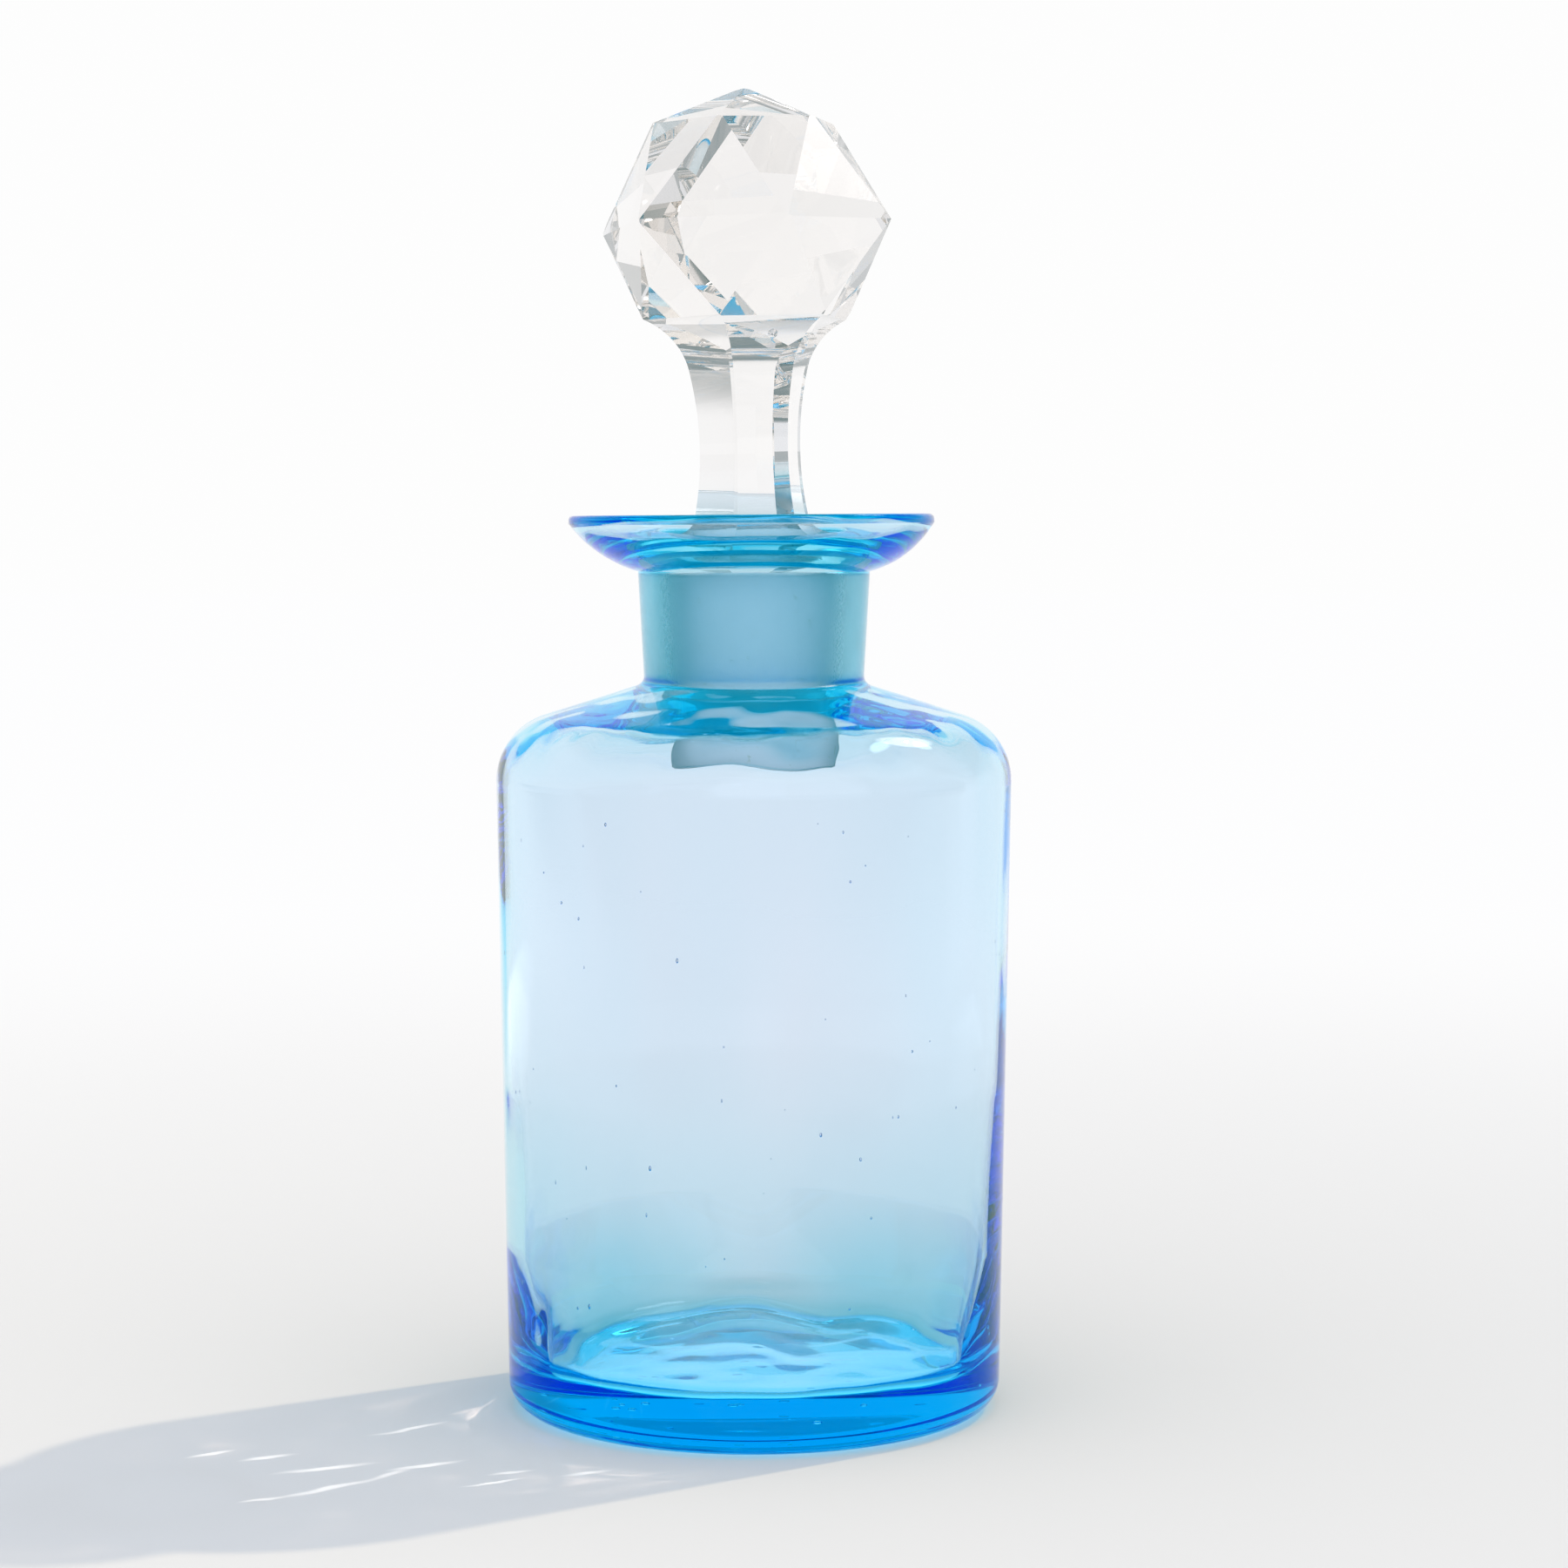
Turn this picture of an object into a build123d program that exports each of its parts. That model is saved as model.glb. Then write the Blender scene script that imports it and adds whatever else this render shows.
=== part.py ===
from build123d import *

import math
import os

# A stoppered apothecary bottle: a blown bottle with a flared dish lip, closed by a solid cut-glass stopper
# with a faceted ball head, a fluted hexagonal stem and a ground tapered shank.
# Millimetres. The origin is the centre of the plane that the bottle stands on, +Z is up the bottle's axis.
# In every outline below, a point is (distance from the axis, height).

# ---- driving dimensions: the bottle ----
body_radius_top = 37.75
body_radius_base = 36.3
body_top_height = 91.0
heel_radius = 4.3
push_up = 1.5
rest_ring_width = 2.4

shoulder_corner_radius = 37.85
shoulder_corner_height = 99.95
shoulder_slope = 0.318
shoulder_fillet = 9.9
neck_fillet = 1.5

neck_radius_base = 16.1
neck_radius_top = 17.0
neck_top_height = 123.2

rim_height = 131.5
rim_radius = 26.75
rim_foot_height = 130.3
rim_outer_fillet = 0.7
lip_underside_middle = (22.75, 126.05)
rim_crest_radius = 25.65
rim_inner_fillet = 1.2
dish_rim = (24.75, 131.05)
dish_middle = (22.2, 128.6)
dish_edge = (18.6, 127.3)

inner_neck_height = 104.9
inner_neck_fillet = 1.6
inner_shoulder = (36.35, 98.7)
inner_shoulder_fillet = 8.4
wall_waist = (35.6, 48.0)
wall_waist_fillet = 60.0
wall_base = (34.2, 24.0)
wall_base_fillet = 20.0
wall_foot_radius = 33.7
floor_height = 7.4
floor_crown = 0.9
floor_fillet = 3.2

# ---- driving dimensions: the ground joint ----
joint_taper = 1 / 20                # radius lost for each millimetre down, the usual 1 in 10 on diameter
shank_radius_top = 13.2
shank_top_height = 124.4
shank_bottom_height = 96.7
shank_end_chamfer = 0.5
joint_clearance = 0.04
bore_mouth_fillet = 1.4

# ---- driving dimensions: the stopper's stem and head ----
sides = 6
full_turn = 360.0
side_angle = full_turn / sides
vertex_azimuth = 16.0               # of a girdle corner, counted from -Y towards +X
flute_end_height = 123.3
stem_foot = (7.37, 131.9)
stem_waist = (6.65, 142.2)
stem_head = (7.8, 152.5)
flute_top = (13.45, 159.9)
cutter_reach = 30.0
run_out_margin = 0.05

girdle_height = 173.4
girdle_radius = 21.7
crown_height = 188.25
crown_radius = 13.5
apex_height = 193.4
blank_radius = 24.0


def shank_radius(height):
    """The ground shank's radius at a height."""
    return shank_radius_top - (shank_top_height - height) * joint_taper


def bore_radius(height):
    """The ground socket's radius at a height."""
    return shank_radius(height) + joint_clearance


def height_on_shoulder(radius):
    """The height of the sloping shoulder, without its roundings."""
    return shoulder_corner_height + (shoulder_corner_radius - radius) * shoulder_slope


# ---- bottle: one revolved wall, from the push-up under the base round to the inside of the floor ----
with BuildPart() as bottle:
    with BuildSketch(Plane.XZ) as bottle_wall:
        with BuildLine() as bottle_outline:
            rest_outer = body_radius_base - heel_radius
            rest_inner = rest_outer - rest_ring_width
            neck_foot = (neck_radius_base, height_on_shoulder(neck_radius_base))
            underside = TangentArc((0, push_up), (rest_inner, 0), tangent=(1, 0))
            outside = FilletPolyline(
                (rest_inner, 0),
                (body_radius_base, 0),
                (body_radius_top, body_top_height),
                (shoulder_corner_radius, shoulder_corner_height),
                neck_foot,
                (neck_radius_top, neck_top_height),
                radius=[heel_radius, 0, shoulder_fillet, neck_fillet],
            )
            lip_underside = ThreePointArc(
                outside @ 1,
                lip_underside_middle,
                (rim_radius, rim_foot_height),
            )
            rim = FilletPolyline(
                lip_underside @ 1,
                (rim_radius, rim_height),
                (rim_crest_radius, rim_height),
                dish_rim,
                radius=[rim_outer_fillet, rim_inner_fillet],
            )
            dish = ThreePointArc(rim @ 1, dish_middle, dish_edge)
            dish_height = dish_edge[1]
            inside = FilletPolyline(
                dish @ 1,
                (bore_radius(dish_height), dish_height),
                (bore_radius(inner_neck_height), inner_neck_height),
                inner_shoulder,
                wall_waist,
                wall_base,
                (wall_foot_radius, floor_height),
                (wall_foot_radius - 2 * floor_fillet, floor_height),
                radius=[
                    bore_mouth_fillet,
                    inner_neck_fillet,
                    inner_shoulder_fillet,
                    wall_waist_fillet,
                    wall_base_fillet,
                    floor_fillet,
                ],
            )
            floor_top = TangentArc((0, floor_height + floor_crown), inside @ 1, tangent=(1, 0))
            Line(floor_top @ 0, (0, push_up))
        make_face()
    revolve(axis=Axis.Z)
bottle.part.label = "bottle"


def facet_plane(azimuth, radius, height, elevation):
    """A cutting plane through a point at that azimuth, facing out along azimuth and elevation degrees."""
    turn = math.radians(azimuth)
    lift = math.radians(elevation)
    outward = Vector(math.sin(turn), -math.cos(turn), 0)
    normal = outward * math.cos(lift) + Vector(0, 0, 1) * math.sin(lift)
    return Plane(origin=outward * radius + Vector(0, 0, height), z_dir=normal)


def slope_between(lower, upper):
    """The elevation, in degrees, that a facet faces when it leans through two (radius, height) points."""
    return math.degrees(math.atan2(lower[0] - upper[0], upper[1] - lower[1]))


# ---- stopper: a turned blank, ground to the shank, fluted, and cut to facets as a cutter's wheel would ----
apothem_share = math.cos(math.pi / sides)
girdle_corner = (girdle_radius, girdle_height)
girdle_flat = (girdle_radius * apothem_share, girdle_height)
crown_corner = (crown_radius, crown_height)
crown_flat = (crown_radius * apothem_share, crown_height)
apex = (0, apex_height)
foot_corner = (flute_top[0] / apothem_share, flute_top[1])
stem_flat = flute_top

# Each row of facets: a point that it passes through, its elevation, and its turn from the girdle's corners.
facet_rows = [
    (crown_flat, slope_between(crown_flat, apex), 0),
    (girdle_corner, slope_between(girdle_corner, crown_flat), 0),
    (girdle_flat, slope_between(girdle_flat, crown_corner), side_angle / 2),
    (girdle_flat, slope_between(foot_corner, girdle_flat), side_angle / 2),
    (girdle_corner, slope_between(stem_flat, girdle_corner), 0),
]

with BuildPart() as stopper:
    with BuildSketch(Plane.XY.offset(flute_top[1])) as head_blank:
        Circle(blank_radius)
    extrude(amount=apex_height - flute_top[1])
    for through, elevation, turned in facet_rows:
        for side in range(sides):
            azimuth = vertex_azimuth + side * side_angle + turned
            split(bisect_by=facet_plane(azimuth, *through, elevation), keep=Keep.BOTTOM)

    with BuildSketch(Plane.XZ) as stem_blank:
        with BuildLine() as stem_blank_outline:
            Polyline(
                (0, shank_bottom_height),
                (shank_radius(shank_bottom_height), shank_bottom_height),
                (shank_radius_top, shank_top_height),
                (shank_radius_top, stem_foot[1]),
                (blank_radius, stem_head[1]),
                (blank_radius, flute_top[1]),
                (0, flute_top[1]),
                close=True,
            )
        make_face()
    revolve(axis=Axis.Z)
    chamfer(stopper.edges().filter_by(GeomType.CIRCLE).sort_by(Axis.Z)[0], shank_end_chamfer)

    for side in range(sides):
        turn = math.radians(vertex_azimuth + side * side_angle)
        radial = Vector(math.sin(turn), -math.cos(turn), 0)
        tangential = Vector(math.cos(turn), math.sin(turn), 0)
        with BuildSketch(Plane(origin=(0, 0, 0), x_dir=radial, z_dir=tangential * -1)) as flute:
            with BuildLine() as flute_outline:
                waist = ThreePointArc(stem_foot, stem_waist, stem_head)
                throat = TangentArc(waist @ 1, flute_top, tangent=waist % 1)
                run_out = TangentArc(
                    waist @ 0,
                    (shank_radius(flute_end_height) + run_out_margin, flute_end_height),
                    tangent=(waist % 0) * -1,
                )
                Polyline(
                    throat @ 1,
                    (cutter_reach, flute_top[1]),
                    (cutter_reach, flute_end_height),
                    run_out @ 1,
                )
            make_face()
        extrude(amount=cutter_reach, both=True, mode=Mode.SUBTRACT)
stopper.part.label = "stopper"

os.makedirs("parts", exist_ok=True)
export_step(bottle.part, "parts/bottle.step")
export_step(stopper.part, "parts/stopper.step")
print("bottle", round(bottle.part.volume), "mm3, stopper", round(stopper.part.volume), "mm3")
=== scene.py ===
import math
import random

import bmesh
import bpy
from mathutils import Matrix, Vector, noise


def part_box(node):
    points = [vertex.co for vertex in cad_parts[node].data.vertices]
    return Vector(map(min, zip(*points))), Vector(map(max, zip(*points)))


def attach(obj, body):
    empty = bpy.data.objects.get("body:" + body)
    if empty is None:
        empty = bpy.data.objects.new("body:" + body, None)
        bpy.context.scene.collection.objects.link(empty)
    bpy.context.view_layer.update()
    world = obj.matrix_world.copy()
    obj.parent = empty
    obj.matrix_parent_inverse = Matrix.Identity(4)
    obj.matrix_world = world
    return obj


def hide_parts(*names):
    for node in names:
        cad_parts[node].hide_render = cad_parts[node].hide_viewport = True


# A stoppered apothecary bottle: pale sapphire-blue blown glass and a clear cut-glass stopper.
# Metres, in the CAD frame: the origin is the centre of the base, +Z up, and the viewer stands on the -Y side.
# In every outline below, a point is (distance from the axis, height) in millimetres.

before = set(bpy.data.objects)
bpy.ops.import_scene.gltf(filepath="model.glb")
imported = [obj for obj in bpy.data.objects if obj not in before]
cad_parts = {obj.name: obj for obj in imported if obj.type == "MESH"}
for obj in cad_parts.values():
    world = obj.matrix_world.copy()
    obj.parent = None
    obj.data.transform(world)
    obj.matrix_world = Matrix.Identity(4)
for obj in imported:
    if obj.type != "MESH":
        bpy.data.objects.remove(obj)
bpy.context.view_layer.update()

MM = 0.001
bottle_low, bottle_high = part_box("bottle")
stopper_low, stopper_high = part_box("stopper")

# ---- sizes taken from the frame, in millimetres ----
RIM_HEIGHT = bottle_high.z / MM
BODY_RADIUS = bottle_high.x / MM
APEX_HEIGHT = stopper_high.z / MM
SHANK_BOTTOM = stopper_low.z / MM

# ---- the bottle's wall, in millimetres ----
BASE_RADIUS = BODY_RADIUS - 1.45
BODY_TOP = 91.0
HEEL_RADIUS = 4.3
PUSH_UP = 1.5
REST_OUTER = BASE_RADIUS - HEEL_RADIUS
REST_INNER = REST_OUTER - 2.4
SHOULDER_CORNER = (BODY_RADIUS + 0.1, 99.95)
SHOULDER_SLOPE = 0.318
SHOULDER_RADIUS = 9.9
NECK_FOOT_RADIUS = 16.1
NECK_TOP = (17.0, 123.2)
RIM_RADIUS = 26.75
RIM_WIDTH = 2.0
DISH_HEIGHT = 127.3
DISH_EDGE = (18.6, DISH_HEIGHT)
WALL_TOP = (36.35, 98.7)
WALL_WAIST = (35.6, 48.0)
WALL_BASE = (34.2, 24.0)
WALL_FOOT = 33.7
FLOOR_HEIGHT = 7.4
FLOOR_CROWN = 0.9
FLOOR_FILLET = 3.2
INNER_NECK_HEIGHT = 104.9

# ---- the ground joint, in millimetres ----
TAPER = 1 / 20
SHANK_TOP_RADIUS = 13.2
SHANK_TOP = 124.4
JOINT_GAP = 0.04

# ---- the stopper's stem and head, in millimetres ----
SIDES = 6
SIDE_ANGLE = math.tau / SIDES
VERTEX_AZIMUTH = math.radians(16.0)
STEM_FOOT = (7.37, 131.9)
STEM_WAIST = (6.65, 142.2)
STEM_HEAD = (7.8, 152.5)
FLUTE_TOP = (13.45, 159.9)
FLUTE_END = 123.3
GIRDLE = (21.7, 173.4)
CROWN = (13.5, 188.25)
STOPPER_BUBBLE = ((3.4, -7.4, 158.0), (0.75, 0.75, 1.0))
LIP_BEND = 124.6
LIP_OFFSET = 0.40
LIP_TILT = 0.007
CHIP_EDGE = 0.08
LEAN = math.radians(1.26)
LEAN_PIVOT = 118.0

BOTTLE_SEGMENTS = 224
OUTLINE_STEP = 0.55
ARC_STEP = 0.28


def quick_or(full):
    return full


# ---------------------------------------------------------------- outlines
def spaced_line(start, end, step=OUTLINE_STEP):
    """Points from start to end, without start."""
    count = max(1, round(math.dist(start, end) / step))
    return [
        (start[0] + (end[0] - start[0]) * i / count, start[1] + (end[1] - start[1]) * i / count)
        for i in range(1, count + 1)
    ]


def arc_through(start, middle, end, step=ARC_STEP):
    """Points on the circle through three points, from start to end, without start."""
    (ax, ay), (bx, by), (cx, cy) = start, middle, end
    d = 2 * (ax * (by - cy) + bx * (cy - ay) + cx * (ay - by))
    a2, b2, c2 = ax * ax + ay * ay, bx * bx + by * by, cx * cx + cy * cy
    ox = (a2 * (by - cy) + b2 * (cy - ay) + c2 * (ay - by)) / d
    oy = (a2 * (cx - bx) + b2 * (ax - cx) + c2 * (bx - ax)) / d
    radius = math.dist((ox, oy), start)
    first = math.atan2(ay - oy, ax - ox)
    through = (math.atan2(by - oy, bx - ox) - first) % math.tau
    sweep = (math.atan2(cy - oy, cx - ox) - first) % math.tau
    if through > sweep:
        sweep -= math.tau
    count = max(2, round(abs(sweep) * radius / step))
    return [
        (ox + radius * math.cos(first + sweep * i / count), oy + radius * math.sin(first + sweep * i / count))
        for i in range(1, count + 1)
    ]


def arc_from(start, heading, end, step=ARC_STEP):
    """Points on the arc that leaves start along heading and ends at end, without start, and its last heading."""
    chord = (end[0] - start[0], end[1] - start[1])
    length = math.hypot(*chord)
    along = (chord[0] * heading[0] + chord[1] * heading[1]) / length
    across = (chord[0] * heading[1] - chord[1] * heading[0]) / length
    half = math.atan2(across, along)
    count = max(2, round(abs(half) * length / math.sin(abs(half)) / step))
    points = []
    for i in range(1, count + 1):
        share = i / count
        reach = length * math.sin(half * share) / math.sin(half)
        turn = -half * share
        x = heading[0] * math.cos(turn) - heading[1] * math.sin(turn)
        y = heading[0] * math.sin(turn) + heading[1] * math.cos(turn)
        points.append((start[0] + reach * x, start[1] + reach * y))
    last = (
        heading[0] * math.cos(-2 * half) - heading[1] * math.sin(-2 * half),
        heading[0] * math.sin(-2 * half) + heading[1] * math.cos(-2 * half),
    )
    return points, last


def filleted(corners, radii):
    """Points along a polyline whose inner corners are rounded by radii, without its first point."""
    points, here = [], corners[0]
    for before, corner, after, radius in zip(corners, corners[1:], corners[2:], radii, strict=False):
        if radius == 0:
            points += spaced_line(here, corner)
            here = corner
            continue
        back = Vector(before) - Vector(corner)
        on = Vector(after) - Vector(corner)
        half = back.angle(on) / 2
        reach = radius / math.tan(half)
        start = Vector(corner) + back.normalized() * reach
        end = Vector(corner) + on.normalized() * reach
        bisector = (back.normalized() + on.normalized()).normalized()
        middle = Vector(corner) + bisector * (radius / math.sin(half) - radius)
        points += spaced_line(here, tuple(start))
        points += arc_through(tuple(start), tuple(middle), tuple(end))
        here = tuple(end)
    return points + spaced_line(here, corners[-1])


def shank_radius(height):
    return SHANK_TOP_RADIUS - (SHANK_TOP - height) * TAPER


def bore_radius(height):
    return shank_radius(height) + JOINT_GAP


def shoulder_height(radius):
    return SHOULDER_CORNER[1] + (SHOULDER_CORNER[0] - radius) * SHOULDER_SLOPE


# ---------------------------------------------------------------- materials
def new_material(name):
    mat = bpy.data.materials.new(name)
    mat.use_nodes = True
    nodes = mat.node_tree.nodes
    shader = next(n for n in nodes if n.type == "BSDF_PRINCIPLED")
    return mat, nodes, mat.node_tree.links, shader


def add(nodes, kind, **inputs):
    """A node of that kind, with its inputs set by name."""
    node = nodes.new(kind)
    for name, value in inputs.items():
        node.inputs[name.replace("_", " ")].default_value = value
    return node


def math_node(nodes, links, operation, first, second, clamp=False):
    node = nodes.new("ShaderNodeMath")
    node.operation = operation
    node.use_clamp = clamp
    for socket, value in zip(node.inputs, (first, second), strict=False):
        if isinstance(value, bpy.types.NodeSocket):
            links.new(value, socket)
        else:
            socket.default_value = value
    return node.outputs[0]


def between(nodes, links, value, start, end):
    """0 below start, 1 above end, and a straight ramp from one to the other."""
    ramp = nodes.new("ShaderNodeMapRange")
    links.new(value, ramp.inputs["Value"])
    ramp.inputs["From Min"].default_value = start
    ramp.inputs["From Max"].default_value = end
    return ramp.outputs["Result"]


def absorb(nodes, links, density, taken):
    """Volume absorption that takes off taken of each colour, each metre, at that density."""
    volume = nodes.new("ShaderNodeVolumeAbsorption")
    volume.inputs["Color"].default_value = (*[1 - t / density for t in taken], 1)
    volume.inputs["Density"].default_value = density
    output = next(n for n in nodes if n.type == "OUTPUT_MATERIAL")
    links.new(volume.outputs[0], output.inputs["Volume"])


def ground_mask(nodes, links, lowest, highest, widest):
    """1 on the ground taper, 0 elsewhere, by height and distance from the axis in metres."""
    place = nodes.new("ShaderNodeTexCoord")
    split = nodes.new("ShaderNodeSeparateXYZ")
    links.new(place.outputs["Object"], split.inputs[0])
    flat = nodes.new("ShaderNodeCombineXYZ")
    links.new(split.outputs["X"], flat.inputs["X"])
    links.new(split.outputs["Y"], flat.inputs["Y"])
    length = nodes.new("ShaderNodeVectorMath")
    length.operation = "LENGTH"
    links.new(flat.outputs[0], length.inputs[0])
    edge = 0.25 * MM
    above = between(nodes, links, split.outputs["Z"], lowest - edge, lowest + edge)
    below = between(nodes, links, split.outputs["Z"], highest + edge, highest - edge)
    inside = between(nodes, links, length.outputs["Value"], widest + edge, widest - edge)
    band = math_node(nodes, links, "MULTIPLY", above, below)
    return math_node(nodes, links, "MULTIPLY", band, inside), place.outputs["Object"]


def glass(
    name, tint, density, taken, lowest, highest, widest, ground_roughness, ripple_scale, ripple_height,
    ground_tint=None,
):
    """Polished glass with absorption inside, faint smudges and ripples, and one ground band."""
    mat, nodes, links, shader = new_material(name)
    shader.inputs["Base Color"].default_value = (*tint, 1)
    shader.inputs["Transmission Weight"].default_value = 1.0
    shader.inputs["IOR"].default_value = 1.52
    absorb(nodes, links, density, taken)
    ground, place = ground_mask(nodes, links, lowest, highest, widest)

    grain = add(nodes, "ShaderNodeTexNoise", Scale=2600.0, Detail=3.0, Roughness=0.6)
    smudge = add(nodes, "ShaderNodeTexNoise", Scale=70.0, Detail=4.0, Roughness=0.6)
    ripple = add(nodes, "ShaderNodeTexNoise", Scale=ripple_scale, Detail=2.0, Roughness=0.4)
    for texture in (grain, smudge, ripple):
        links.new(place, texture.inputs["Vector"])

    smear = between(nodes, links, smudge.outputs["Fac"], 0.55, 0.8)
    polished = math_node(nodes, links, "MULTIPLY", smear, 0.03)
    mottled = math_node(nodes, links, "MULTIPLY", smudge.outputs["Fac"], 0.25)
    rough = math_node(nodes, links, "ADD", mottled, ground_roughness)
    difference = math_node(nodes, links, "SUBTRACT", rough, polished)
    share = math_node(nodes, links, "MULTIPLY", difference, ground)
    links.new(math_node(nodes, links, "ADD", polished, share), shader.inputs["Roughness"])

    if ground_tint:
        flecks = add(nodes, "ShaderNodeTexNoise", Scale=900.0, Detail=2.0, Roughness=0.5)
        links.new(place, flecks.inputs["Vector"])
        fleck = between(nodes, links, flecks.outputs["Fac"], 0.66, 0.74)
        dirt = nodes.new("ShaderNodeMix")
        dirt.data_type = "RGBA"
        links.new(fleck, dirt.inputs["Factor"])
        dirt.inputs["A"].default_value = (*ground_tint, 1)
        dirt.inputs["B"].default_value = (0.55, 0.54, 0.46, 1)
        colour = nodes.new("ShaderNodeMix")
        colour.data_type = "RGBA"
        links.new(ground, colour.inputs["Factor"])
        colour.inputs["A"].default_value = (*tint, 1)
        links.new(dirt.outputs["Result"], colour.inputs["B"])
        links.new(colour.outputs["Result"], shader.inputs["Base Color"])

    waves = nodes.new("ShaderNodeBump")
    waves.inputs["Strength"].default_value = 1.0
    waves.inputs["Distance"].default_value = ripple_height
    links.new(ripple.outputs["Fac"], waves.inputs["Height"])
    pits = nodes.new("ShaderNodeBump")
    pits.inputs["Distance"].default_value = 0.00002
    links.new(ground, pits.inputs["Strength"])
    links.new(grain.outputs["Fac"], pits.inputs["Height"])
    links.new(waves.outputs["Normal"], pits.inputs["Normal"])
    links.new(pits.outputs["Normal"], shader.inputs["Normal"])
    return mat


blue_glass = glass(
    "blue_glass",
    tint=(0.995, 0.95, 1.0),
    density=110.0,
    taken=(92.0, 14.0, 0.6),
    lowest=INNER_NECK_HEIGHT * MM,
    highest=SHANK_TOP * MM,
    widest=(SHANK_TOP_RADIUS + 0.6) * MM,
    ground_roughness=0.30,
    ripple_scale=60.0,
    ripple_height=0.00002,
)
clear_glass = glass(
    "clear_glass",
    tint=(0.985, 0.975, 0.97),
    density=4.0,
    taken=(1.0, 1.3, 1.6),
    lowest=(SHANK_BOTTOM - 1.0) * MM,
    highest=SHANK_TOP * MM,
    widest=(SHANK_TOP_RADIUS + 1.0) * MM,
    ground_roughness=0.35,
    ripple_scale=40.0,
    ripple_height=0.0000008,
    ground_tint=(0.86, 0.91, 1.0),
)


# ---------------------------------------------------------------- the blown bottle
def bottle_outline():
    """The wall's section, from the middle of the underside round to the middle of the inside floor, and the index
    of its first inside point."""
    under = [
        (REST_INNER * i / 40, PUSH_UP * (1 - (i / 40) ** 2) ** 1.0)
        for i in range(41)
    ]
    neck_foot = (NECK_FOOT_RADIUS, shoulder_height(NECK_FOOT_RADIUS))
    rim_foot = (RIM_RADIUS, RIM_HEIGHT - 1.2)
    rim_inner = (RIM_RADIUS - RIM_WIDTH, RIM_HEIGHT - 0.45)
    outside = filleted(
        [under[-1], (BASE_RADIUS, 0), (BODY_RADIUS, BODY_TOP), SHOULDER_CORNER, neck_foot, NECK_TOP],
        [HEEL_RADIUS, 0, SHOULDER_RADIUS, 1.5],
    )
    lip = arc_through(NECK_TOP, (22.75, 126.05), rim_foot)
    rim = filleted(
        [rim_foot, (RIM_RADIUS, RIM_HEIGHT), (rim_inner[0] + 0.9, RIM_HEIGHT), rim_inner],
        [0.7, 1.2],
    )
    dish = arc_through(rim_inner, (22.2, 128.6), DISH_EDGE)
    inside = filleted(
        [
            dish[-1],
            (bore_radius(DISH_HEIGHT), DISH_HEIGHT),
            (bore_radius(INNER_NECK_HEIGHT), INNER_NECK_HEIGHT),
            WALL_TOP,
            WALL_WAIST,
            WALL_BASE,
            (WALL_FOOT, FLOOR_HEIGHT),
            (WALL_FOOT - 2 * FLOOR_FILLET, FLOOR_HEIGHT),
        ],
        [1.4, 1.6, 8.4, 60.0, 20.0, FLOOR_FILLET],
    )
    floor_radius = inside[-1][0]
    floor = [
        (floor_radius * (1 - i / 40), FLOOR_HEIGHT + FLOOR_CROWN * (1 - (1 - i / 40) ** 2))
        for i in range(1, 41)
    ]
    outer = under + outside + lip + rim
    return outer + dish + inside + floor, len(outer)


def swell(at, scale, seed):
    """Smooth noise from -1 to 1 at a point in millimetres."""
    return noise.noise((at / scale) + Vector((seed, seed * 1.7, -seed)))


def crooked_lip(point):
    """The lip sits a little to the left of the neck and low on that side."""
    share = min(max((point.z / MM - LIP_BEND) / (RIM_HEIGHT - LIP_BEND), 0.0), 1.0)
    return point + Vector((-LIP_OFFSET * share, 0, point.x / MM * LIP_TILT * share)) * MM


def hand_blown(radius, height, azimuth, inner):
    """How far a point of the wall is moved, as (outwards, up), in millimetres."""
    at = Vector((radius * math.cos(azimuth), radius * math.sin(azimuth), height))
    tall = Vector((at.x, at.y, at.z * 0.45))
    if not inner:
        if height < 0.02 or height > RIM_HEIGHT - 0.02:
            return 0.0, 0.0
        drawn = Vector((at.x, at.y, at.z * 0.06))
        return 0.05 * swell(tall, 24, 3.0) + 0.02 * swell(drawn, 5, 67.0), 0.0
    in_bore = INNER_NECK_HEIGHT < height < DISH_HEIGHT + 0.01 and radius < 15.0
    if in_bore:
        return 0.0, 0.0
    if height > DISH_HEIGHT - 0.01:
        return 0.12 * swell(at, 9, 5.0), 0.10 * swell(at, 8, 9.0)
    outwards = 0.30 * swell(tall, 26, 11.0) + 0.12 * swell(tall, 11, 17.0)
    outwards += 0.06 * swell(Vector((at.x, at.y, at.z * 0.06)), 6, 61.0)
    floor_share = min(max((24.0 - height) / 14.0, 0.0), 1.0)
    edge_share = math.exp(-(((radius - 29.0) / 6.0) ** 2)) * floor_share
    up = floor_share * (0.55 * swell(at, 15, 23.0) + 0.18 * swell(at, 6, 29.0))
    up += edge_share * 1.6 * swell(at, 17, 31.0)
    outwards += edge_share * 1.2 * swell(at, 13, 37.0)
    from_back = math.remainder(azimuth - math.pi / 2, math.tau)
    far_side = min(max((math.cos(from_back) + 0.55) / 0.9, 0.0), 1.0)
    corner_share = floor_share * min(max((radius - 20.0) / 9.0, 0.0), 1.0)
    outwards -= corner_share * 4.2 * far_side * (1 - math.exp(-((from_back / 0.42) ** 2)))
    shoulder_share = min(max((height - 92.0) / 6.0, 0.0), 1.0) * min(max((radius - 13.5) / 3.0, 0.0), 1.0)
    up += shoulder_share * (0.45 * swell(at, 10, 41.0) + 0.2 * swell(at, 5, 43.0))
    return outwards * min(radius / 12.0, 1.0), up


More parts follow.
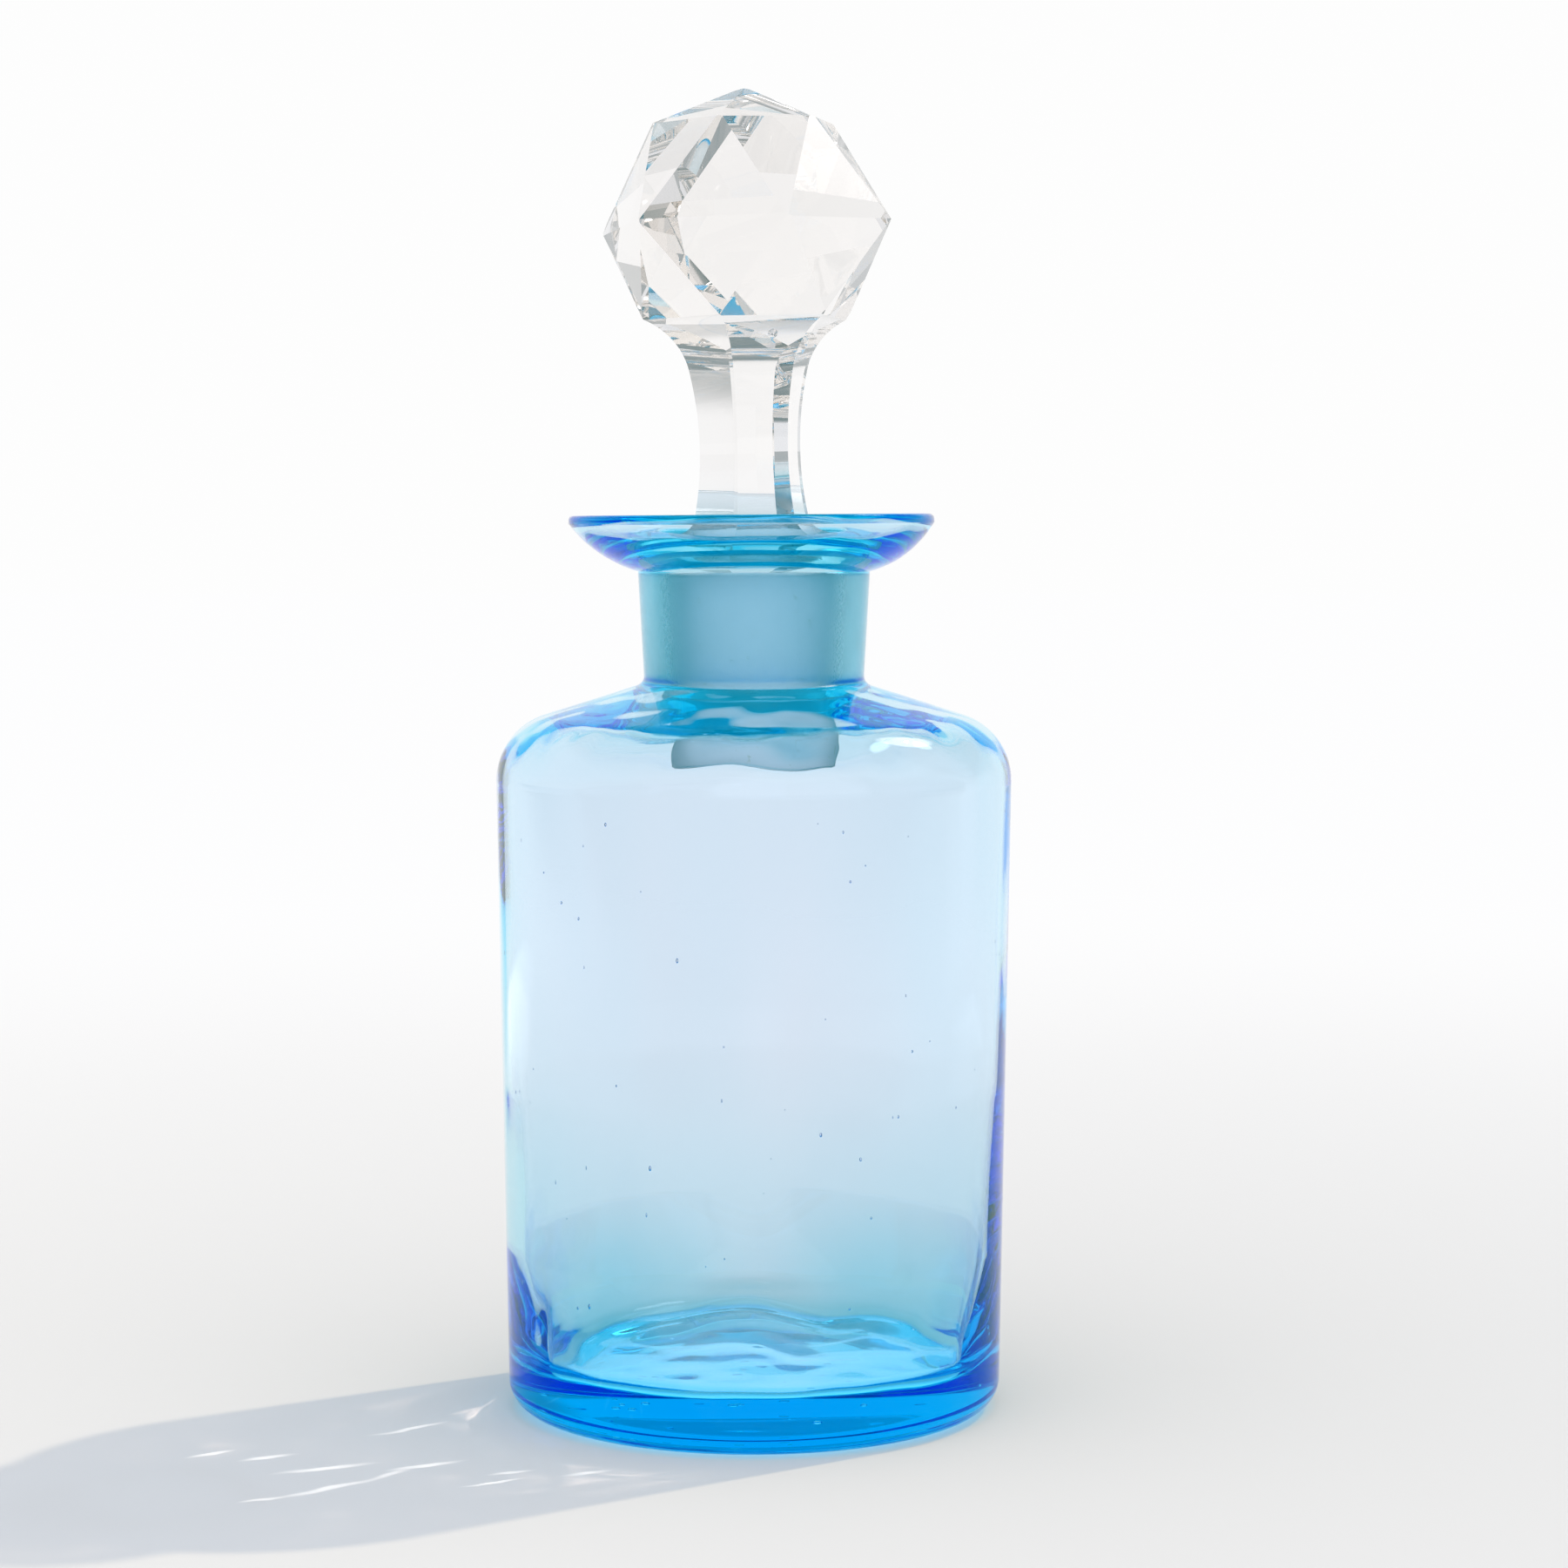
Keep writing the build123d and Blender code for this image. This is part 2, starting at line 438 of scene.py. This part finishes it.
def lathe(bm, outline, segments, shape):
    """Turns an outline that starts and ends on the axis into a closed skin, moved by shape."""
    rings = []
    for index, (radius, height) in enumerate(outline):
        if radius < 1e-6:
            rings.append([bm.verts.new((0, 0, height * MM))])
            continue
        ring = []
        for step in range(segments):
            azimuth = math.tau * step / segments
            outwards, up = shape(index, radius, height, azimuth)
            reach = (radius + outwards) * MM
            point = Vector((reach * math.cos(azimuth), reach * math.sin(azimuth), (height + up) * MM))
            ring.append(bm.verts.new(crooked_lip(point)))
        rings.append(ring)
    for low, high in zip(rings, rings[1:], strict=False):
        for step in range(segments):
            after = (step + 1) % segments
            if len(low) == 1:
                bm.faces.new((low[0], high[after], high[step]))
            elif len(high) == 1:
                bm.faces.new((low[step], low[after], high[0]))
            else:
                bm.faces.new((low[step], low[after], high[after], high[step]))


def make_object(name, bm, material):
    mesh = bpy.data.meshes.new(name)
    bm.to_mesh(mesh)
    bm.free()
    mesh.materials.append(material)
    piece = bpy.data.objects.new(name, mesh)
    bpy.context.scene.collection.objects.link(piece)
    return piece


def trap_bubble(bm, centre, radii):
    """A closed hollow in the glass, at a place and with radii in millimetres."""
    made = bmesh.ops.create_icosphere(bm, subdivisions=2, radius=1.0)
    for vert in made["verts"]:
        vert.co = Vector([c + r * v for c, r, v in zip(centre, radii, vert.co, strict=True)]) * MM
    faces = {face for vert in made["verts"] for face in vert.link_faces}
    bmesh.ops.reverse_faces(bm, faces=list(faces))


def wall_seeds(draw):
    """Small bubbles all round the wall and in the thick base, as (centre, radii)."""
    for _ in range(60):
        height = draw.uniform(14.0, 90.0)
        azimuth = draw.uniform(0.0, math.tau)
        outer = BASE_RADIUS + (BODY_RADIUS - BASE_RADIUS) * height / BODY_TOP
        reach = outer - 0.62
        size = draw.uniform(0.08, 0.20)
        yield (reach * math.cos(azimuth), reach * math.sin(azimuth), height), (size, size, size * draw.uniform(1.0, 2.2))
    for _ in range(26):
        reach = 30.0 * math.sqrt(draw.random())
        azimuth = draw.uniform(0.0, math.tau)
        size = draw.uniform(0.12, 0.34)
        centre = (reach * math.cos(azimuth), reach * math.sin(azimuth), draw.uniform(2.6, 5.6))
        yield centre, (size * draw.uniform(1.0, 2.6), size, size * 0.8)


def blown_bottle():
    outline, first_inside = bottle_outline()
    bm = bmesh.new()
    lathe(
        bm,
        outline,
        quick_or(BOTTLE_SEGMENTS),
        lambda index, radius, height, azimuth: hand_blown(radius, height, azimuth, index >= first_inside),
    )
    bmesh.ops.recalc_face_normals(bm, faces=bm.faces)
    for centre, radii in wall_seeds(random.Random(11)):
        trap_bubble(bm, centre, radii)
    piece = make_object("blown_bottle", bm, blue_glass)
    for face in piece.data.polygons:
        face.use_smooth = True
    return piece


# ---------------------------------------------------------------- the cut stopper
def flute_outline():
    """The flute's floor, from its run-out at the ground shank to where it passes under the head."""
    waist = arc_through(STEM_FOOT, STEM_WAIST, STEM_HEAD, 0.8)
    (x0, y0), (x1, y1) = waist[-2], waist[-1]
    size = math.dist((x0, y0), (x1, y1))
    up = ((x1 - x0) / size, (y1 - y0) / size)
    throat, heading = arc_from(STEM_HEAD, up, FLUTE_TOP)
    level = arc_from(FLUTE_TOP, heading, (FLUTE_TOP[0] + 4.2, FLUTE_TOP[1] + 1.1))[0]
    (x0, y0), (x1, y1) = STEM_FOOT, waist[0]
    size = math.dist((x0, y0), (x1, y1))
    down = ((x0 - x1) / size, (y0 - y1) / size)
    run_out = arc_from(STEM_FOOT, down, (SHANK_TOP_RADIUS + TAPER, FLUTE_END), 0.2)[0]
    return list(reversed(run_out)) + [STEM_FOOT] + waist + throat + level


def hexagon_ring(flute_depths, height, limit, per_side):
    """A closed ring of points where each side lies at its own depth, held inside a radius of limit."""
    corners = []
    for side in range(SIDES):
        azimuth = VERTEX_AZIMUTH + side * SIDE_ANGLE
        here, after = flute_depths[side], flute_depths[(side + 1) % SIDES]
        turn = azimuth + SIDE_ANGLE
        normal = Vector((math.sin(azimuth), -math.cos(azimuth)))
        other = Vector((math.sin(turn), -math.cos(turn)))
        det = normal.x * other.y - normal.y * other.x
        corners.append(Vector(((here * other.y - after * normal.y) / det, (normal.x * after - other.x * here) / det)))
    ring = []
    for side in range(SIDES):
        start, end = corners[side - 1], corners[side]
        for step in range(per_side):
            at = start.lerp(end, step / per_side)
            if at.length > limit:
                at = at.normalized() * limit
            ring.append((at.x, at.y, height))
    return ring


def cut_stopper():
    """The blank's stem with its flutes, then the head's facets ground off plane by plane."""
    draw = random.Random(7)
    outline = flute_outline()
    per_side = 10
    side_offsets = [draw.uniform(-0.12, 0.12) for _ in range(SIDES)]
    rings = []
    bottom = SHANK_BOTTOM
    shank_rows = quick_or(80)
    end_radius = shank_radius(bottom)
    for share in (0.25, 0.5, 0.75, 0.9):
        rings.append((share * end_radius, bottom))
    rings.append((end_radius - 0.4, bottom))
    for row in range(shank_rows):
        height = bottom + 0.35 + (FLUTE_END - bottom - 0.35) * row / shank_rows
        rings.append((shank_radius(height), height))

    bm = bmesh.new()
    loops = []
    for radius, height in rings:
        count = SIDES * per_side
        first = VERTEX_AZIMUTH - SIDE_ANGLE / 2
        loop = []
        for step in range(count):
            azimuth = first + math.tau * step / count
            at = Vector((math.sin(azimuth), -math.cos(azimuth), 0)) * radius
            wave = 0.22 * swell(Vector((at.x, at.y, 0)), 7, 51.0) if height < bottom + 1.0 else 0.0
            loop.append(bm.verts.new((at.x * MM, at.y * MM, (height + wave) * MM)))
        loops.append(loop)
    for depth, height in outline:
        limit = shank_radius(height) if height < STEM_FOOT[1] - 2 else 99.0
        depths = [depth + offset * min(max((height - 126) / 10, 0), 1) for offset in side_offsets]
        ring = hexagon_ring(depths, height, limit, per_side)
        loops.append([bm.verts.new(Vector(p) * MM) for p in ring])
    last = loops[-1]
    for reach, height in ((26.0, outline[-1][1] + 0.02), (26.0, APEX_HEIGHT + 1.0)):
        loop = []
        for vert in last:
            at = Vector((vert.co.x, vert.co.y, 0)).normalized() * reach * MM
            loop.append(bm.verts.new((at.x, at.y, height * MM)))
        loops.append(loop)
        last = loop
    for low, high in zip(loops, loops[1:], strict=False):
        for step in range(len(low)):
            after = (step + 1) % len(low)
            bm.faces.new((low[step], low[after], high[after], high[step]))
    bm.faces.new(list(reversed(loops[0])))
    bm.faces.new(loops[-1])
    bmesh.ops.recalc_face_normals(bm, faces=bm.faces)

    for through, elevation, azimuth in head_facets(draw):
        outward = Vector((math.sin(azimuth), -math.cos(azimuth), 0))
        normal = outward * math.cos(elevation) + Vector((0, 0, math.sin(elevation)))
        point = outward * through[0] * MM + Vector((0, 0, through[1] * MM))
        grind(bm, point, normal, FLUTE_TOP[1] * MM - 0.006)

    edges = [
        e for e in bm.edges
        if len(e.link_faces) == 2
        and min(v.co.z for v in e.verts) > 127.5 * MM
        and e.calc_face_angle(0) > math.radians(9)
    ]
    bmesh.ops.bevel(
        bm, geom=edges, offset=CHIP_EDGE * MM, offset_type="OFFSET", segments=2, profile=0.5, affect="EDGES",
        clamp_overlap=True,
    )
    bmesh.ops.recalc_face_normals(bm, faces=bm.faces)
    trap_bubble(bm, *STOPPER_BUBBLE)
    lean(bm)
    piece = make_object("cut_stopper", bm, clear_glass)
    piece.data.shade_smooth()
    piece.data.set_sharp_from_angle(angle=math.radians(7))
    return piece


def lean(bm):
    """The stem and the head stand a little out of true on the shank."""
    pivot = Vector((0, 0, LEAN_PIVOT * MM))
    for vert in bm.verts:
        share = min(max((vert.co.z / MM - SHANK_TOP) / 6.0, 0.0), 1.0)
        turn = Matrix.Rotation(-LEAN * share, 3, "Y")
        vert.co = pivot + turn @ (vert.co - pivot)


def grind(bm, point, normal, lowest):
    """Cuts off what stands beyond a plane, on the head only, and closes the cut with one flat facet."""
    faces = [f for f in bm.faces if max(v.co.z for v in f.verts) > lowest]
    edges = {e for f in faces for e in f.edges}
    verts = {v for f in faces for v in f.verts}
    made = bmesh.ops.bisect_plane(
        bm, geom=[*verts, *edges, *faces], plane_co=point, plane_no=normal, clear_outer=True, dist=1e-7
    )
    rim = [g for g in made["geom_cut"] if isinstance(g, bmesh.types.BMEdge) and g.is_valid and len(g.link_faces) < 2]
    if rim:
        bmesh.ops.edgeloop_fill(bm, edges=rim)


def slope_between(lower, upper):
    return math.atan2(lower[0] - upper[0], upper[1] - lower[1])


def head_facets(draw):
    """Each facet as (a point it passes through, its elevation, its azimuth), a little off true as if cut by hand."""
    share = math.cos(SIDE_ANGLE / 2)
    girdle_flat = (GIRDLE[0] * share, GIRDLE[1])
    crown_flat = (CROWN[0] * share, CROWN[1])
    foot_corner = (FLUTE_TOP[0] / share, FLUTE_TOP[1])
    rows = [
        (crown_flat, slope_between(crown_flat, (0, APEX_HEIGHT)), 0.0),
        (GIRDLE, slope_between(GIRDLE, crown_flat), 0.0),
        (girdle_flat, slope_between(girdle_flat, CROWN), 0.5),
        (girdle_flat, slope_between(foot_corner, girdle_flat), 0.5),
        (GIRDLE, slope_between(FLUTE_TOP, GIRDLE), 0.0),
    ]
    for through, elevation, turned in rows:
        for side in range(SIDES):
            azimuth = VERTEX_AZIMUTH + (side + turned) * SIDE_ANGLE
            off = draw.uniform(-0.12, 0.12)
            lean = draw.uniform(-0.7, 0.7)
            swing = draw.uniform(-0.9, 0.9)
            point = (through[0] + off * math.cos(elevation), through[1] + off * math.sin(elevation))
            yield point, elevation + math.radians(lean), azimuth + math.radians(swing)


bottle = blown_bottle()
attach(bottle, "bottle")
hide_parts("bottle")

stopper = cut_stopper()
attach(stopper, "stopper")
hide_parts("stopper")


for piece in (bottle, stopper):
    piece.cycles.is_caustics_caster = True


# ---------------------------------------------------------------- floor, light and camera
SUN = Vector((0.828, 0.560, math.tan(math.radians(50.0)))).normalized()


# Painted light: a bright patch of sun on the floor, behind on the left, that only the glass sees and shows as a white
# reflection in the stopper's facets.
PAINTED_SUN_PATCH = (-0.30, 0.27, 0.0)

# Painted light: streaks of sun painted into the floor's material inside the bottle's own shadow, where the wavy glass
# would gather the sun, in millimetres on the floor.
STREAK_COUNT = 11
STREAK_START = 42.0
STREAK_END = 88.0
STREAK_SIDE = 24.0
STREAK_SWING = 16.0


def painted_sun_streaks(draw):
    """Painted sun streaks spread along the shadow, as (middle, half length, half width, turn in radians, strength).
    """
    away = Vector((-SUN.x, -SUN.y)).normalized()
    across = Vector((-away.y, away.x))
    along = math.atan2(-away.y, -away.x)
    for step in range(STREAK_COUNT):
        share = (step + draw.random()) / STREAK_COUNT
        reach = STREAK_START + (STREAK_END - STREAK_START) * share
        middle = away * reach + across * draw.uniform(-STREAK_SIDE, STREAK_SIDE)
        turn = along + math.radians(draw.uniform(-STREAK_SWING, STREAK_SWING))
        half_width = draw.uniform(0.8, 1.4)
        yield middle, draw.uniform(4.0, 13.0), half_width, turn, draw.uniform(0.30, 0.50)


def painted_streak_light(nodes, links, place):
    """How much painted streak light the floor emits at each point, in place of sun gathered by the glass."""
    warp = add(nodes, "ShaderNodeTexNoise", Scale=110.0, Detail=2.0)
    links.new(place, warp.inputs["Vector"])
    bent = nodes.new("ShaderNodeVectorMath")
    bent.operation = "MULTIPLY_ADD"
    links.new(warp.outputs["Color"], bent.inputs[0])
    bent.inputs[1].default_value = (0.003, 0.003, 0.0)
    links.new(place, bent.inputs[2])
    total = 0.0
    for middle, half_length, half_width, turn, strength in painted_sun_streaks(random.Random(8)):
        fit = nodes.new("ShaderNodeMapping")
        fit.vector_type = "TEXTURE"
        links.new(bent.outputs[0], fit.inputs["Vector"])
        fit.inputs["Location"].default_value = ((middle.x + 1.5) * MM, (middle.y + 1.5) * MM, 0)
        fit.inputs["Rotation"].default_value = (0, 0, turn)
        fit.inputs["Scale"].default_value = (half_length * MM, half_width * MM, 1)
        reach = nodes.new("ShaderNodeVectorMath")
        reach.operation = "LENGTH"
        links.new(fit.outputs[0], reach.inputs[0])
        fade = between(nodes, links, reach.outputs["Value"], 1.0, 0.0)
        fade.node.interpolation_type = "SMOOTHSTEP"
        total = math_node(nodes, links, "ADD", math_node(nodes, links, "MULTIPLY", fade, strength), total)
    return total


def pale_floor():
    bm = bmesh.new()
    corners = [(-6.0, -6.0, 0), (6.0, -6.0, 0), (6.0, 6.0, 0), (-6.0, 6.0, 0)]
    bm.faces.new([bm.verts.new(corner) for corner in corners])
    mesh = bpy.data.meshes.new("floor")
    bm.to_mesh(mesh)
    bm.free()
    floor = bpy.data.objects.new("floor", mesh)
    floor.location.z = -0.00002
    bpy.context.scene.collection.objects.link(floor)
    mat, nodes, links, shader = new_material("pale_floor")
    nodes.remove(shader)
    place = nodes.new("ShaderNodeTexCoord")
    length = nodes.new("ShaderNodeVectorMath")
    length.operation = "LENGTH"
    links.new(place.outputs["Object"], length.inputs[0])
    ramp = nodes.new("ShaderNodeMapRange")
    ramp.interpolation_type = "SMOOTHERSTEP"
    links.new(length.outputs["Value"], ramp.inputs["Value"])
    ramp.inputs["From Min"].default_value = 0.02
    ramp.inputs["From Max"].default_value = 0.75
    matt = add(nodes, "ShaderNodeBsdfDiffuse", Color=(0.76, 0.76, 0.76, 1), Roughness=0.5)
    bright = add(nodes, "ShaderNodeEmission", Color=(0.985, 0.985, 0.99, 1), Strength=1.0)
    mix = nodes.new("ShaderNodeMixShader")
    # Painted light: a pale blue glow on the floor under the bottle's base, in place of sun that the glass would focus
    # there.
    under = between(nodes, links, length.outputs["Value"], 0.036, 0.030)
    painted_glow_share = math_node(nodes, links, "MULTIPLY", under, 0.75)
    painted_glow_light = add(nodes, "ShaderNodeEmission", Color=(0.46, 0.78, 1.0, 1), Strength=1.5)
    matt_with_painted_glow = nodes.new("ShaderNodeMixShader")
    links.new(painted_glow_share, matt_with_painted_glow.inputs[0])
    links.new(matt.outputs[0], matt_with_painted_glow.inputs[1])
    links.new(painted_glow_light.outputs[0], matt_with_painted_glow.inputs[2])
    # Painted light: the streaks are emission in the floor's own material, added over the shadow.
    painted_streaks = add(nodes, "ShaderNodeEmission", Color=(1.0, 0.97, 0.90, 1))
    links.new(painted_streak_light(nodes, links, place.outputs["Object"]), painted_streaks.inputs["Strength"])
    with_painted_streaks = nodes.new("ShaderNodeAddShader")
    links.new(matt_with_painted_glow.outputs[0], with_painted_streaks.inputs[0])
    links.new(painted_streaks.outputs[0], with_painted_streaks.inputs[1])
    links.new(ramp.outputs["Result"], mix.inputs[0])
    links.new(with_painted_streaks.outputs[0], mix.inputs[1])
    links.new(bright.outputs[0], mix.inputs[2])
    # Painted shade: seen only from the glass, the floor in front of the viewer turns a dim grey, and the shade
    # reaches further back on the left than on the sunny right.
    split = nodes.new("ShaderNodeSeparateXYZ")
    links.new(place.outputs["Object"], split.inputs[0])
    wide = math_node(nodes, links, "ABSOLUTE", split.outputs["X"], 0)
    left = math_node(nodes, links, "MULTIPLY", wide, 0.6)
    right = math_node(nodes, links, "MULTIPLY", split.outputs["X"], 0.25)
    aside = math_node(nodes, links, "SUBTRACT", left, right)
    front_shade_share = between(nodes, links, math_node(nodes, links, "SUBTRACT", split.outputs["Y"], aside), -0.12, -0.8)
    front_shade_share.node.interpolation_type = "SMOOTHERSTEP"
    # Painted light: the far floor glows brighter round the painted sun patch, hidden from the camera.
    from_painted_sun_patch = nodes.new("ShaderNodeVectorMath")
    from_painted_sun_patch.operation = "DISTANCE"
    links.new(place.outputs["Object"], from_painted_sun_patch.inputs[0])
    from_painted_sun_patch.inputs[1].default_value = PAINTED_SUN_PATCH
    path = nodes.new("ShaderNodeLightPath")
    unseen = math_node(nodes, links, "SUBTRACT", 1.0, path.outputs["Is Camera Ray"])
    painted_sun_patch_share = math_node(nodes, links, "MULTIPLY", between(nodes, links, from_painted_sun_patch.outputs["Value"], 0.13, 0.09), unseen)
    links.new(math_node(nodes, links, "MULTIPLY_ADD", painted_sun_patch_share, 0.62), bright.inputs["Strength"])
    bright.inputs["Strength"].links[0].from_node.inputs[2].default_value = 1.0
    painted_front_shade = add(nodes, "ShaderNodeEmission", Color=(0.42, 0.43, 0.45, 1), Strength=1.0)
    whole = nodes.new("ShaderNodeMixShader")
    links.new(math_node(nodes, links, "MULTIPLY", front_shade_share, unseen), whole.inputs[0])
    links.new(mix.outputs[0], whole.inputs[1])
    links.new(painted_front_shade.outputs[0], whole.inputs[2])
    output = next(n for n in nodes if n.type == "OUTPUT_MATERIAL")
    links.new(whole.outputs[0], output.inputs["Surface"])
    mesh.materials.append(mat)
    floor.cycles.is_caustics_receiver = True


# The room as the glass sees it: each place is (direction, cosine where it starts, cosine where it is full, and how
# much darker it is), from 0 for white.
SIDE_SHADE = 0.34
SHADED = (
    ((0, -1, 0), 0.0, 0.7, 0.15),
    ((0, 0, 1), 0.58, 0.70, 0.25),
    ((0.72, 0.42, 0.56), 0.85, 0.93, 0.42),
    ((0.30, -0.95, 0.10), 0.80, 0.85, -0.42),
    (SUN, 0.986, 0.994, -5.0),
)


def studio_world():
    """A white studio all round, with a darker room on the viewer's side that only the glass sees."""
    world = bpy.data.worlds.new("studio")
    bpy.context.scene.world = world
    world.use_nodes = True
    nodes, links = world.node_tree.nodes, world.node_tree.links
    nodes.clear()
    place = nodes.new("ShaderNodeTexCoord")

    def towards(direction, start, end):
        dot = nodes.new("ShaderNodeVectorMath")
        dot.operation = "DOT_PRODUCT"
        links.new(place.outputs["Generated"], dot.inputs[0])
        dot.inputs[1].default_value = Vector(direction).normalized()
        edge = between(nodes, links, dot.outputs["Value"], start, end)
        edge.node.interpolation_type = "SMOOTHSTEP"
        return edge

    forward = towards((0, 1, 0), -0.25, 0.6)
    total = math_node(nodes, links, "MULTIPLY_ADD", forward, -SIDE_SHADE)
    total.node.inputs[2].default_value = SIDE_SHADE
    for direction, start, end, depth in SHADED:
        part = math_node(nodes, links, "MULTIPLY", towards(direction, start, end), depth)
        total = math_node(nodes, links, "ADD", total, part)
    dimmed = math_node(nodes, links, "SUBTRACT", 0.985, total)
    path = nodes.new("ShaderNodeLightPath")
    direct = math_node(nodes, links, "MULTIPLY", path.outputs["Is Camera Ray"], 0.985)
    unseen = math_node(nodes, links, "SUBTRACT", 1.0, path.outputs["Is Camera Ray"])
    indirect = math_node(nodes, links, "MULTIPLY", dimmed, unseen)
    seen = math_node(nodes, links, "ADD", direct, indirect)
    sky = add(nodes, "ShaderNodeBackground", Color=(1, 1, 1, 1))
    tone = nodes.new("ShaderNodeMix")
    tone.data_type = "RGBA"
    links.new(math_node(nodes, links, "MAXIMUM", forward, path.outputs["Is Camera Ray"]), tone.inputs["Factor"])
    tone.inputs["A"].default_value = (0.93, 0.955, 1.0, 1)
    tone.inputs["B"].default_value = (1, 1, 1, 1)
    links.new(tone.outputs["Result"], sky.inputs["Color"])
    links.new(seen, sky.inputs["Strength"])
    shade = add(nodes, "ShaderNodeBackground", Color=(0.91, 0.935, 1.0, 1))
    either = nodes.new("ShaderNodeMixShader")
    links.new(path.outputs["Is Diffuse Ray"], either.inputs[0])
    links.new(sky.outputs[0], either.inputs[1])
    links.new(shade.outputs[0], either.inputs[2])
    sky = either
    output = nodes.new("ShaderNodeOutputWorld")
    links.new(sky.outputs[0], output.inputs[0])


def key_light():
    """Low sun from behind on the right."""
    lamp = bpy.data.lights.new("key", "SUN")
    lamp.angle = math.radians(1.4)
    lamp.energy = 1.4
    lamp.color = (1.0, 0.87, 0.62)
    lamp.cycles.is_caustics_light = True
    key = bpy.data.objects.new("key", lamp)
    key.rotation_euler = SUN.to_track_quat("Z", "Y").to_euler()
    bpy.context.scene.collection.objects.link(key)


def photo_camera():
    lens = bpy.data.cameras.new("camera")
    lens.sensor_width = 36.0
    lens.lens = 86.7
    lens.clip_start = 0.01
    camera = bpy.data.objects.new("camera", lens)
    distance, height = 0.554, RIM_HEIGHT * MM - 0.0004
    pitch, yaw = math.radians(4.04), math.radians(0.456)
    look = Matrix.Rotation(-yaw, 4, "Z") @ Matrix.Rotation(math.pi / 2 - pitch, 4, "X")
    camera.matrix_world = Matrix.Translation((0, -distance, height)) @ look
    bpy.context.scene.collection.objects.link(camera)
    bpy.context.scene.camera = camera


pale_floor()
studio_world()
key_light()
photo_camera()

scene = bpy.context.scene
scene.view_settings.view_transform = "Standard"
scene.view_settings.use_curve_mapping = True
red = scene.view_settings.curve_mapping.curves[0]
for dark, shown in ((0.035, 0.001), (0.10, 0.03), (0.25, 0.19), (0.5, 0.475)):
    red.points.new(dark, shown)
scene.view_settings.curve_mapping.update()
scene.cycles.max_bounces = 128
scene.cycles.transmission_bounces = 128
scene.cycles.glossy_bounces = 128
scene.cycles.transparent_max_bounces = 16
scene.cycles.diffuse_bounces = 4
scene.cycles.sample_clamp_indirect = 4.0
